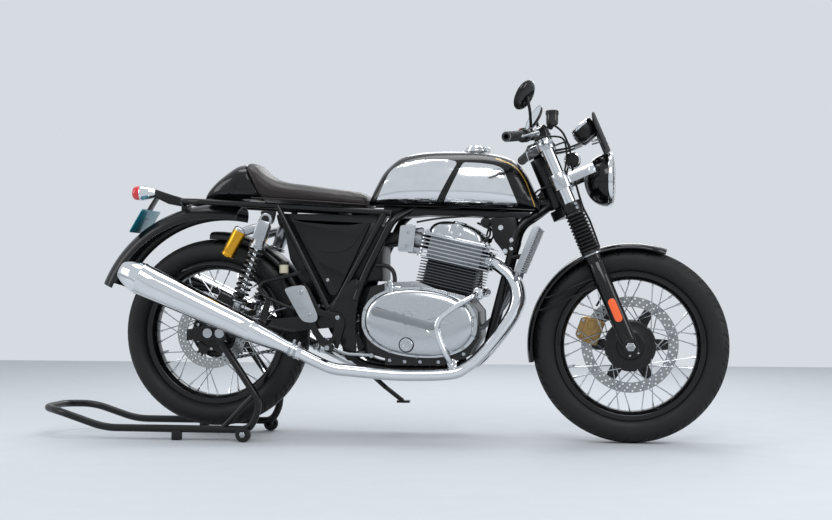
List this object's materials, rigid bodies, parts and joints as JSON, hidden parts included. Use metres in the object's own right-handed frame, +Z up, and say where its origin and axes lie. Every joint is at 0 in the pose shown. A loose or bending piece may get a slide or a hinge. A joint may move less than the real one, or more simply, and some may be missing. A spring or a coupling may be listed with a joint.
{
  "type": "cafe racer motorcycle on a paddock stand",
  "caption": "Twin-cylinder cafe racer motorcycle on a rear paddock stand: steering head, spoked wheels, side stand and fuel cap move",
  "frame": {"origin": "on the floor, under the middle of the whole object with its paddock stand", "axes": "+X forward, +Y to the rider's left, +Z up"},
  "size_m": [2.3179, 0.757, 1.1573],
  "materials": {
    "headstock": "black gloss paint",
    "main_frame": "black gloss paint",
    "swingarm": "black gloss paint",
    "rear_axle": "plated steel",
    "crankcase": "polished and cast aluminium",
    "engine_covers": "polished and cast aluminium",
    "cylinders": "black paint on cast fins",
    "cylinder_head": "bare cast fins",
    "oil_cooler": "bare fins in a black shroud",
    "exhaust_headers": "chrome plate",
    "silencers": "chrome plate",
    "air_intake": "black rubber and metal plate",
    "fuel_tank": "gloss black with chrome sides and a gold line",
    "filler_neck": "polished",
    "filler_cap": "polished",
    "seat": "dark brown leather, smooth",
    "seat_cowl": "gloss black paint",
    "side_panels": "gloss black paint",
    "rear_fender": "gloss black paint",
    "tail_lamp": "red lens in a chrome housing",
    "number_plate": "teal, blank",
    "rear_shocks": "gold reservoirs, silver heads and black springs",
    "footrest_plates": "satin plates",
    "rear_caliper": "black",
    "drive_chain": "oiled steel",
    "paddock_stand": "black gloss paint",
    "stand_wheel_left": "black nylon",
    "stand_wheel_right": "black nylon",
    "side_stand_bracket": "black gloss paint",
    "side_stand": "black gloss paint",
    "lower_yoke": "black",
    "upper_yoke": "satin",
    "fork_tubes": "hard chrome",
    "fork_gaiters": "matte rubber",
    "fork_sliders": "gloss black",
    "front_axle": "plated steel",
    "front_fender": "gloss black paint",
    "front_caliper": "bronze",
    "lamp_brackets": "satin",
    "headlamp": "chrome shell and a clear lens",
    "instrument_pods": "black pods with chrome rings",
    "fly_screen": "smoked",
    "handlebars": "black",
    "grips": "matte rubber",
    "mirrors": "black with mirror glass",
    "front_tyre": "road tread",
    "front_rim": "gloss black",
    "front_hub": "black hub with steel spokes",
    "front_disc": "ground steel",
    "rear_tyre": "road tread",
    "rear_rim": "gloss black",
    "rear_hub": "black hub with steel spokes",
    "rear_disc": "ground steel",
    "rear_sprocket": "oiled steel"
  },
  "bodies": {
    "chassis": {"headstock": "headstock", "main_frame": "main_frame", "swingarm": "swingarm", "rear_axle": "rear_axle", "crankcase": "crankcase", "engine_covers": "engine_covers", "cylinders": "cylinders", "cylinder_head": "cylinder_head", "oil_cooler": "oil_cooler", "exhaust_headers": "exhaust_headers", "silencers": "silencers", "air_intake": "air_intake", "fuel_tank": "fuel_tank", "filler_neck": "filler_neck", "seat": "seat", "seat_cowl": "seat_cowl", "side_panels": "side_panels", "rear_fender": "rear_fender", "tail_lamp": "tail_lamp", "number_plate": "number_plate", "rear_shocks": "rear_shocks", "footrest_plates": "footrest_plates", "rear_caliper": "rear_caliper", "drive_chain": "drive_chain", "paddock_stand": "paddock_stand", "side_stand_bracket": "side_stand_bracket"},
    "steering": {"lower_yoke": "lower_yoke", "upper_yoke": "upper_yoke", "fork_tubes": "fork_tubes", "fork_gaiters": "fork_gaiters", "fork_sliders": "fork_sliders", "front_axle": "front_axle", "front_fender": "front_fender", "front_caliper": "front_caliper", "lamp_brackets": "lamp_brackets", "headlamp": "headlamp", "instrument_pods": "instrument_pods", "fly_screen": "fly_screen", "handlebars": "handlebars", "grips": "grips", "mirrors": "mirrors"},
    "front_wheel": {"front_tyre": "front_tyre", "front_rim": "front_rim", "front_hub": "front_hub", "front_disc": "front_disc"},
    "rear_wheel": {"rear_tyre": "rear_tyre", "rear_rim": "rear_rim", "rear_hub": "rear_hub", "rear_disc": "rear_disc", "rear_sprocket": "rear_sprocket"},
    "filler_lid": {"filler_cap": "filler_cap"},
    "kick_stand": {"side_stand": "side_stand"},
    "left_stand_wheel": {"stand_wheel_left": "stand_wheel_left"},
    "right_stand_wheel": {"stand_wheel_right": "stand_wheel_right"}
  },
  "joints": [
    {"name": "steering", "type": "hinge", "parent": "chassis", "child": "steering", "pos_m": [0.61004, 0, 0.77223], "axis": [-0.3831, 0, 0.9237], "range_deg": [-33, 33]},
    {"name": "front_wheel_spin", "type": "hinge", "parent": "steering", "child": "front_wheel", "pos_m": [0.84075, 0, 0.3185], "axis": [0, 1, 0], "continuous": true},
    {"name": "rear_wheel_spin", "type": "hinge", "parent": "chassis", "child": "rear_wheel", "pos_m": [-0.55725, 0, 0.3555], "axis": [0, 1, 0], "continuous": true},
    {"name": "filler_cap_hinge", "type": "hinge", "parent": "chassis", "child": "filler_lid", "pos_m": [0.37554, 0, 0.97223], "axis": [0, 1, 0], "range_deg": [0, 95]},
    {"name": "side_stand_fold", "type": "hinge", "parent": "chassis", "child": "kick_stand", "pos_m": [-0.05846, 0.096, 0.22723], "axis": [0, 1, 0], "range_deg": [0, 115]},
    {"name": "left_stand_wheel_spin", "type": "hinge", "parent": "chassis", "child": "left_stand_wheel", "pos_m": [-0.41825, 0.177, 0.025], "axis": [0, 1, 0], "continuous": true},
    {"name": "right_stand_wheel_spin", "type": "hinge", "parent": "chassis", "child": "right_stand_wheel", "pos_m": [-0.41825, -0.177, 0.025], "axis": [0, 1, 0], "continuous": true}
  ]
}
